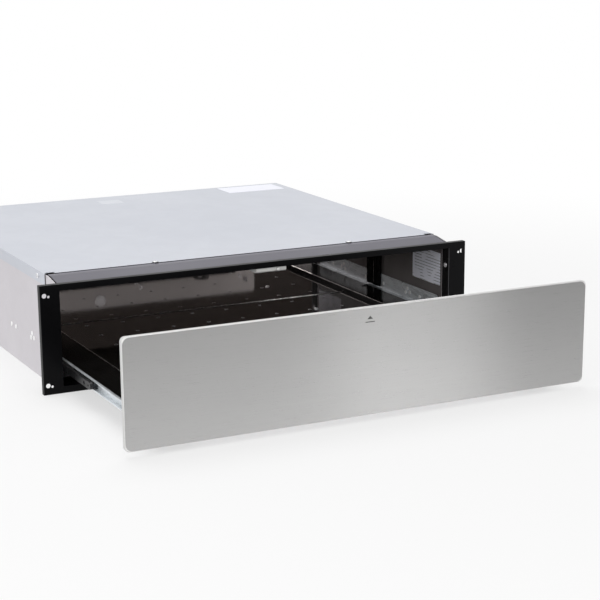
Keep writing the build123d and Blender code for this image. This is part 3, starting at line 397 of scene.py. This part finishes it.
def mirror_and_enamel(name, colour, roughness):
    """Polished back wall whose folded side wings are enamelled black."""
    finish = polished_sheet(name, colour, roughness, 0.02)
    wing = finish.before(Y, wall_face - 0.1)
    finish.paint(wing, (0.004, 0.0038, 0.0036))
    finish.blend_in("Metallic", wing, 1.0, 0.0)
    finish.blend_in("Specular IOR Level", wing, 0.5, 0.01)
    return finish


def turned_metal(name, colour, roughness, metallic=1.0):
    """Screws, rivets and wire: bright metal with fine scuffs."""
    finish = Finish(name, colour, roughness, metallic)
    scuffs = finish.noise((1500, 1500, 1500), detail=3)
    finish.tint(scuffs, shade(colour, 0.82), 0.6)
    finish.gloss(scuffs, roughness * 0.7, roughness * 1.4)
    finish.relief(scuffs, 0.01, 0.3)
    return finish


def moulded(name, colour, roughness):
    """Moulded plastic or rubber with a fine spark-eroded texture."""
    finish = Finish(name, colour, roughness)
    spark = finish.noise((2200, 2200, 2200), detail=2)
    clouds = finish.noise((40, 40, 40), detail=3)
    finish.tint(clouds, shade(colour, 0.9), 0.5)
    finish.gloss(spark, roughness * 0.85, roughness * 1.15)
    finish.relief(spark, 0.02, 0.4)
    return finish


def wool(name, colour):
    """Insulating wool: matted fibres with deep shade between them."""
    finish = Finish(name, colour, 0.95, Sheen_Weight=0.3)
    fibres = finish.noise((260, 260, 900), detail=6, rough=0.7, warp=0.6)
    finish.tint(fibres, shade(colour, 0.6), 0.9)
    finish.relief(fibres, 0.6, 0.8)
    return finish


def pressed_board(name, colour):
    """Board pressed from chips, each of its own shade."""
    finish = Finish(name, colour, 0.8)
    chips = finish.cells((420, 420, 420))
    finish.tint(chips, shade(colour, 0.7), 0.8)
    finish.relief(chips, 0.1, 0.5)
    return finish


def ruled_label(name, paper, rows_per_metre):
    """Blank stickers with broken grey rules and no lettering; those left of the middle are greyer."""
    rule_share = 0.24  # of the height of a row
    finish = Finish(name, paper, 0.42)
    row = finish.number("FRACT", finish.along(Z, rows_per_metre))
    rule = finish.number("LESS_THAN", row, rule_share)
    breaks = finish.spread(finish.noise((60, 60, 60), detail=0), 0.0, 1.0, 0.42, 0.5)
    finish.paint(finish.number("MULTIPLY", rule, breaks), shade(paper, 0.4))
    finish.relief(finish.noise((900, 900, 900)), 0.01, 0.3)
    finish.paint(finish.before(X, 0.0), (0.64, 0.66, 0.71))
    return finish


def lens(name, colour):
    """Clear tinted lens of the lamp, with fine ribs."""
    finish = Finish(name, colour, 0.12, Transmission_Weight=0.6, IOR=1.49)
    ribs = finish.noise((900, 900, 200), detail=1)
    finish.tint(ribs, shade(colour, 0.8), 0.4)
    finish.relief(ribs, 0.05, 0.3)
    return finish


made = [
    lacquer("frame_black", (0.0035, 0.0035, 0.004), 0.3),
    sheet_steel("galvanised", (0.63, 0.605, 0.635), 0.42, 0.55),
    cover_sheet("cover_sheet", (0.57, 0.59, 0.645)),
    ledge_sheet("grey_sheet", (0.130, 0.126, 0.150)),
    runner_zinc("zinc", (0.78, 0.82, 0.85)),
    # rivet_steel is near-white and barely metallic: a painted highlight that makes the rivet heads show
    # bright.
    turned_metal("rivet_steel", (0.97, 0.97, 0.97), 0.3, 0.1),
    sheet_steel("dark_steel", (0.035, 0.035, 0.037), 0.3, 0.8, spangle=140.0),
    brushed_front("front_steel", (0.305, 0.303, 0.301)),
    dark_gloss("lining", (0.10, 0.09, 0.088), 0.16, 0.02, 0.3),
    dark_gloss("black_enamel", (0.007, 0.0058, 0.0050), 0.05, 0.03, 0.9),
    dark_gloss("pan_black", (0.004, 0.0036, 0.0034), 0.12, 0.02, 0.05),
    mirror_and_enamel("mirror_steel", (0.76, 0.71, 0.70), 0.02),
    sheet_steel("backing_steel", (0.84, 0.80, 0.79), 0.6, 0.0),
    turned_metal("bright_trim", (0.82, 0.80, 0.78), 0.22),
    polished_sheet("reflector", (0.78, 0.78, 0.79), 0.12, 0.1),
    turned_metal("element_sheath", (0.2, 0.17, 0.15), 0.45),
    turned_metal("screw_steel", (0.84, 0.84, 0.86), 0.24, 0.6),
    turned_metal("rim_steel", (0.40, 0.40, 0.41), 0.25),
    wool("mineral_wool", (0.66, 0.60, 0.42)),
    pressed_board("core_board", (0.42, 0.33, 0.23)),
    moulded("white_plastic", (0.90, 0.90, 0.88), 0.38),
    moulded("black_plastic", (0.02, 0.02, 0.021), 0.42),
    ruled_label("white_label", (0.88, 0.89, 0.97), 240.0),
    moulded("mark_ink", (0.02, 0.02, 0.02), 0.5),
    turned_metal("terminal_brass", (0.72, 0.52, 0.22), 0.25),
    moulded("rubber_black", (0.025, 0.025, 0.026), 0.6),
    moulded("rubber_grey", (0.34, 0.34, 0.35), 0.6),
    lens("lamp_lens", (0.8, 0.3, 0.03)),
]
finishes = {finish.name: finish.material for finish in made}


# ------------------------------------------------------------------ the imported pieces
def dress(piece, finish):
    """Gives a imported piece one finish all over."""
    piece.data.materials.clear()
    piece.data.materials.append(finishes[finish])


for name, piece in node.items():
    dress(piece, slots[name])
dress(node["tray_back_wall"], "mirror_steel")
dress(node["panel_backing"], "backing_steel")
for name in ("tray_pan", "control_box"):
    dress(node[name], "pan_black")
# The rail's rivets get the near-white rivet_steel, a painted highlight on their heads.
dress(node["rail_rivets"], "rivet_steel")


# ------------------------------------------------------------------ small pieces by Geometry Nodes
class Tree:
    """A Geometry Nodes tree with named number inputs, grown on a mesh without points."""

    def __init__(self, name, inputs):
        self.group = bpy.data.node_groups.new(name, "GeometryNodeTree")
        outside = self.group.interface
        outside.new_socket("Geometry", in_out="OUTPUT", socket_type="NodeSocketGeometry")
        for socket, value in inputs.items():
            made = outside.new_socket(socket, in_out="INPUT", socket_type="NodeSocketFloat")
            made.default_value = value
        self.values = new_node(self.group, "NodeGroupInput").outputs
        self.end = new_node(self.group, "NodeGroupOutput")
        self.inputs = inputs

    def add(self, kind, sources, **settings):
        """A node whose inputs are given as outputs or constants."""
        made = new_node(self.group, kind, **settings)
        for socket, source in sources.items():
            feed(self.group, source, made.inputs[socket])
        return made

    def times(self, name, factor):
        """One of the tree's inputs, times a constant."""
        return number(self.group, "MULTIPLY", self.values[name], factor)

    def vector(self, **sides):
        """A vector of the sides that are given, each one an output or a constant."""
        return self.add("ShaderNodeCombineXYZ", sides).outputs[0]

    def moved(self, geometry, place, turn=(0, 0, 0)):
        """Geometry turned about the origin and then moved."""
        return self.add("GeometryNodeTransform", {
            "Geometry": geometry, "Translation": place, "Rotation": turn,
        }).outputs[0]

    def copies(self, points, shape, turn=(0, 0, 0)):
        """A copy of a shape on each point."""
        return self.add("GeometryNodeInstanceOnPoints", {
            "Points": points, "Instance": shape, "Rotation": turn,
        }).outputs[0]

    def circle(self, radius, steps):
        """A circle whose radius is an input of the tree."""
        return self.add("GeometryNodeCurvePrimitiveCircle", {
            "Resolution": steps, "Radius": self.values[radius],
        }).outputs[0]

    def wire(self, path, radius, sides=8, ends=False):
        """Round wire along a path, with closed ends if the path isn't a loop."""
        return self.add("GeometryNodeCurveToMesh", {
            "Curve": path, "Profile Curve": self.circle(radius, sides), "Fill Caps": ends,
        }).outputs[0]

    def block(self, width, depth, height):
        """A block round the origin, whose sides are inputs of the tree."""
        size = self.vector(X=self.values[width], Y=self.values[depth], Z=self.values[height])
        return self.add("GeometryNodeMeshCube", {"Size": size}).outputs[0]

    def piece(self, geometry, finish, body, slot):
        """Realises the tree's geometry as a plain mesh that rides on a body."""
        realised = self.add("GeometryNodeRealizeInstances", {"Geometry": geometry})
        painted = self.add("GeometryNodeSetMaterial", {
            "Geometry": realised.outputs[0], "Material": finishes[finish],
        })
        self.group.links.new(painted.outputs[0], self.end.inputs[0])
        name = self.group.name
        seed = new_object(name + "_seed", bpy.data.meshes.new(name + "_seed"))
        modifier = seed.modifiers.new("grown", "NODES")
        modifier.node_group = self.group
        for item in self.group.interface.items_tree:
            if item.in_out == "INPUT":
                modifier[item.identifier] = self.inputs[item.name]
        piece = new_object(name, final_mesh(seed, name))
        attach(piece, body)
        return piece


def vent_rims():
    """Bright raised rim round each air hole in the drawer's floor."""
    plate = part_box("floor_plate")[1]
    columns, rows = 8, 8
    pitch_x, pitch_y = 50.6 * MM, 55.5 * MM
    rear_margin, proud = 21.2 * MM, 0.05 * MM
    tree = Tree("vent_rims", {
        "Pitch X": pitch_x, "Pitch Y": pitch_y, "Rim Radius": 2.1 * MM, "Wire Radius": 0.4 * MM,
    })
    grid = tree.add("GeometryNodeMeshGrid", {
        "Size X": tree.times("Pitch X", columns - 1), "Vertices X": columns,
        "Size Y": tree.times("Pitch Y", rows - 1), "Vertices Y": rows,
    })
    middle = plate.y - rear_margin - pitch_y * (rows - 1) / 2
    holes = tree.moved(grid.outputs["Mesh"], (0, middle, plate.z + proud))
    rim = tree.wire(tree.circle("Rim Radius", 24), "Wire Radius")
    tree.piece(tree.copies(holes, rim), "rim_steel", "drawer", "screw_steel")


def wall_bead():
    """Bright rolled bead along the joint of the drawer's floor and its back wall."""
    low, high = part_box("floor_plate")
    radius, inset = 0.5 * MM, 3.0 * MM
    tree = Tree("wall_bead", {"Length": high.x - low.x - 2 * inset, "Radius": radius})
    line = tree.add("GeometryNodeCurvePrimitiveLine", {
        "Start": tree.vector(X=tree.times("Length", -0.5)), "End": tree.vector(X=tree.times("Length", 0.5)),
    })
    bead = tree.wire(line.outputs[0], "Radius", sides=12, ends=True)
    laid = tree.moved(bead, (0, high.y - radius, high.z + radius))
    tree.piece(laid, "bright_trim", "drawer", "bright_trim")


def screw_shadow_rings():
    """Dark ring round each screw along the front edge of the cover: a painted shadow round the screw heads.
    """
    left, right = -130.0 * MM, 145.0 * MM
    behind_heads_front = 3.0 * MM
    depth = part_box("cover_screws")[0].y + behind_heads_front
    tree = Tree("screw_shadow_rings", {"Ring Radius": 3.9 * MM, "Wire Radius": 0.45 * MM})
    line = tree.add("GeometryNodeMeshLine", {
        "Count": 2, "Start Location": (left, depth, 0), "Offset": (right - left, 0, 0),
    })
    raised = tree.moved(line.outputs[0], (0, 0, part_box("top_cover")[1].z))
    ring = tree.wire(tree.circle("Ring Radius", 28), "Wire Radius")
    # Painted shadow: dark rings round the screw heads on the cover.
    tree.piece(tree.copies(raised, ring), "dark_steel", "cabinet", "dark_steel")


def latch_coil():
    """The push latch's wire spring, a coil in place of the imported spring."""
    low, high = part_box("latch_spring")
    middle = (low + high) / 2
    length = high.y - low.y
    wire_radius = 0.3 * MM
    steps_in_turn = 24
    tree = Tree("latch_coil", {
        "Coil Radius": (high.x - low.x) / 2 - wire_radius, "Length": length - 2 * wire_radius,
        "Turns": 6.0, "Wire Radius": wire_radius,
    })
    spiral = tree.add("GeometryNodeCurveSpiral", {
        "Resolution": steps_in_turn, "Rotations": tree.values["Turns"], "Height": tree.values["Length"],
        "Start Radius": tree.values["Coil Radius"], "End Radius": tree.values["Coil Radius"],
    })
    wire = tree.wire(spiral.outputs[0], "Wire Radius", ends=True)
    upright_to_depth = (-math.pi / 2, 0, 0)
    laid = tree.moved(wire, (middle.x, low.y + wire_radius, middle.z), upright_to_depth)
    coil = tree.piece(laid, "screw_steel", "cabinet", slots["latch_spring"])
    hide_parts("latch_spring")
    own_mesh(coil)


def dial_turn():
    """The knob's first angle and its whole sweep, with the gap of the scale towards the front."""
    turn = joints["thermostat_turn"]
    sweep = math.radians(turn["range_deg"][1]) * math.copysign(1.0, turn["axis"][Z])
    half_gap = (math.tau - abs(sweep)) / 2
    return -math.pi / 2 + math.copysign(half_gap, sweep), sweep


def dial_marks():
    """White scale of ten strokes printed round the thermostat's knob."""
    low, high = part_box("thermostat_knob")
    middle = (low + high) / 2
    start, sweep = dial_turn()
    clear_of_knob = 2.6 * MM
    tree = Tree("dial_marks", {
        "Scale Radius": (high.x - low.x) / 2 + clear_of_knob,
        "Stroke Length": 2.2 * MM, "Stroke Width": 0.6 * MM, "Film": 0.2 * MM,
    })
    arc = tree.add("GeometryNodeCurveArc", {
        "Resolution": 64, "Radius": tree.values["Scale Radius"], "Start Angle": start, "Sweep Angle": sweep,
    })
    spots = tree.add("GeometryNodeCurveToPoints", {"Curve": arc.outputs[0], "Count": 10}, mode="COUNT")
    stroke = tree.block("Stroke Length", "Film", "Stroke Width")
    scale = tree.copies(spots.outputs["Points"], stroke, spots.outputs["Rotation"])
    laid = tree.moved(scale, (middle.x, middle.y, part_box("control_box")[1].z))
    tree.piece(laid, "white_plastic", "drawer", slots["latch_body"])


def knob_pointer():
    """White line inlaid in the knob's top, towards the first stroke of the scale at rest."""
    low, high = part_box("thermostat_knob")
    middle = (low + high) / 2
    start = dial_turn()[0]
    tree = Tree("knob_pointer", {
        "Length": 7.0 * MM, "Width": 1.2 * MM, "Film": 0.4 * MM, "Reach": 7.5 * MM,
    })
    line = tree.block("Length", "Width", "Film")
    outwards = tree.moved(line, tree.vector(X=tree.values["Reach"]))
    laid = tree.moved(outwards, (middle.x, middle.y, high.z), (0, 0, start))
    tree.piece(laid, "white_plastic", "knob", slots["latch_body"])


# ------------------------------------------------------------------ the lead
def drawer_lead():
    """The lead from the drawer's clip to the casing's terminals, a fixed tube in place of the imported
    lead.
    """
    fixing_mid = 67.0  # height of the origin over the casing's underside, in millimetres
    lying = 4.2  # and of the lead's middle where it lies on the casing's floor
    route = [  # heights over the underside, too
        (150, 205.8, 20), (150, 235.8, 20), (146, 277.8, 11), (128, 321.8, lying),
        (92, 355.8, lying), (64, 395.8, lying), (74, 437.8, lying), (112, 471.2, lying),
        (154, 449.2, lying), (192, 445.2, 6), (205, 475.2, 9), (205, 501.2, 9),
    ]
    data = bpy.data.curves.new("lead_line", "CURVE")
    data.dimensions = "3D"
    data.bevel_depth = 3.0 * MM
    data.bevel_resolution = 4
    data.resolution_u = 10
    data.use_fill_caps = True
    line = data.splines.new("NURBS")
    line.points.add(len(route) - 1)
    for point, (x, y, z) in zip(line.points, route):
        point.co = (x * MM, y * MM, (z - fixing_mid) * MM, 1)
    line.order_u = 3
    line.use_endpoint_u = True
    mesh = final_mesh(new_object("lead_line", data), "lead_tube")
    mesh.materials.clear()
    mesh.materials.append(finishes["rubber_black"])
    for face in mesh.polygons:
        face.use_smooth = True
    lead = new_object("lead_tube", mesh)
    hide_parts("drawer_lead")
    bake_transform(lead)


vent_rims()
wall_bead()
screw_shadow_rings()
latch_coil()
dial_marks()
knob_pointer()
drawer_lead()


# ------------------------------------------------------------------ studio
def studio_world(name, strength_to_object):
    """Background that is white to the eye, gloss and glass, and lights the object at its own strength."""
    world = bpy.data.worlds.new(name)
    world.use_nodes = True
    tree = world.node_tree
    path = new_node(tree, "ShaderNodeLightPath").outputs
    reflected = number(tree, "MAXIMUM", path["Is Glossy Ray"], path["Is Transmission Ray"])
    seen = number(tree, "MAXIMUM", path["Is Camera Ray"], reflected)
    background = tree.nodes["Background"].inputs
    background["Color"].default_value = (1, 1, 1, 1)
    tree.links.new(spread(tree, seen, strength_to_object, 1.0, 0.0, 1.0), background["Strength"])
    return world


def studio_matt(name, colour, roughness):
    """Plain matt material for what stands round the object."""
    material = bpy.data.materials.new(name)
    material.use_nodes = True
    shader = material.node_tree.nodes["Principled BSDF"]
    shader.inputs["Base Color"].default_value = (*colour, 1)
    shader.inputs["Roughness"].default_value = roughness
    return material


def studio_sheet(name, corners, material):
    """One flat face of four corners."""
    mesh = bpy.data.meshes.new(name)
    mesh.from_pydata(corners, [], [(0, 1, 2, 3)])
    mesh.materials.append(material)
    return new_object(name, mesh)


def pale_floor(height):
    """Pale floor that keeps the object's shadow and fades to white away from it."""
    half = 14.0
    fade_start, fade_end, white_near = 0.45, 1.5, 0.6
    material = studio_matt("pale_floor", (0.86, 0.86, 0.86), 0.9)
    tree = material.node_tree
    matt = tree.nodes["Principled BSDF"]
    matt.inputs["Specular IOR Level"].default_value = 0.1
    white = new_node(tree, "ShaderNodeEmission")
    white.inputs["Color"].default_value = (1, 1, 1, 1)
    path = new_node(tree, "ShaderNodeLightPath").outputs
    away = vector(tree, "LENGTH", new_node(tree, "ShaderNodeTexCoord").outputs["Object"])
    fade = spread(tree, away, white_near, 1.0, fade_start, fade_end, "SMOOTHSTEP")
    seen = number(tree, "MULTIPLY", path["Is Camera Ray"], fade)
    share = number(tree, "MAXIMUM", seen, path["Is Glossy Ray"])
    mix = new_node(tree, "ShaderNodeMixShader")
    for source, socket in zip((share, matt.outputs[0], white.outputs[0]), mix.inputs):
        tree.links.new(source, socket)
    tree.links.new(mix.outputs[0], tree.nodes["Material Output"].inputs["Surface"])
    signs = [(-1, -1), (1, -1), (1, 1), (-1, 1)]
    floor = studio_sheet("floor", [(x * half, y * half, height) for x, y in signs], material)


def dark_card(low, high):
    """Dark flag that only gloss sees, which keeps the drawer's enamel black at a low angle."""
    corners = [low, (high[X], high[Y], low[Z]), high, (low[X], low[Y], high[Z])]
    card = studio_sheet("dark_card", corners, studio_matt("dark_card", (0.055, 0.045, 0.040), 1.0))
    for kind in ("camera", "diffuse", "transmission", "shadow"):
        setattr(card, "visible_" + kind, False)


def softbox(name, place, aim, size, watts):
    """Rectangular soft light that faces a point."""
    data = bpy.data.lights.new(name, "AREA")
    data.shape = "RECTANGLE"
    data.size, data.size_y = size
    data.energy = watts
    lamp = new_object(name, data)
    lamp.location = place
    lamp.rotation_euler = (Vector(aim) - Vector(place)).to_track_quat("-Z", "Y").to_euler()


def camera():
    """Lens and place that show the drawer as it is seen from the front left and a little above."""
    data = bpy.data.cameras.new("camera")
    data.sensor_width = 36.0
    data.lens = 100.37
    data.shift_x, data.shift_y = -0.0773, 0.1017
    data.clip_start, data.clip_end = 0.05, 60.0
    eye = new_object("camera", data)
    eye.location = (-0.8864, -1.8796, 0.5025)
    azimuth, elevation = math.radians(28.06), math.radians(15.20)
    eye.rotation_euler = (math.pi / 2 - elevation, 0, -azimuth)
    bpy.context.scene.camera = eye


camera()
dark_card((0.3, -2.95, 0.5), (3.2, -2.6, 2.2))
floor_gap = 0.2 * MM
pale_floor(cad_box[0].z - floor_gap)
scene = bpy.context.scene
scene.world = studio_world("studio", 0.55)

# The three softboxes in front stand level in a row, and the brushed panel reflects them
row_depth, row_height, box_height = -2.9, 0.22, 0.40
panel_depth = -0.27
softbox("overhead", (-0.2, 0.2, 2.4), (0, 0.1, 0), (2.6, 2.2), 34)
for name, x, aim_x, box_width, watts in (
    ("front_right", 1.557, 0.1, 0.42, 6),
    ("front_middle", 0.8, 0.0, 1.1, 8),
    ("front_edge", 2.3, 0.3, 0.6, 2.2),
):
    place, aim = (x, row_depth, row_height), (aim_x, panel_depth, row_height)
    softbox(name, place, aim, (box_width, box_height), watts)
softbox("front_left", (-2.3, -1.3, 0.6), (-0.1, 0, 0), (1.4, 1.2), 17)
scene.view_settings.view_transform = "Standard"
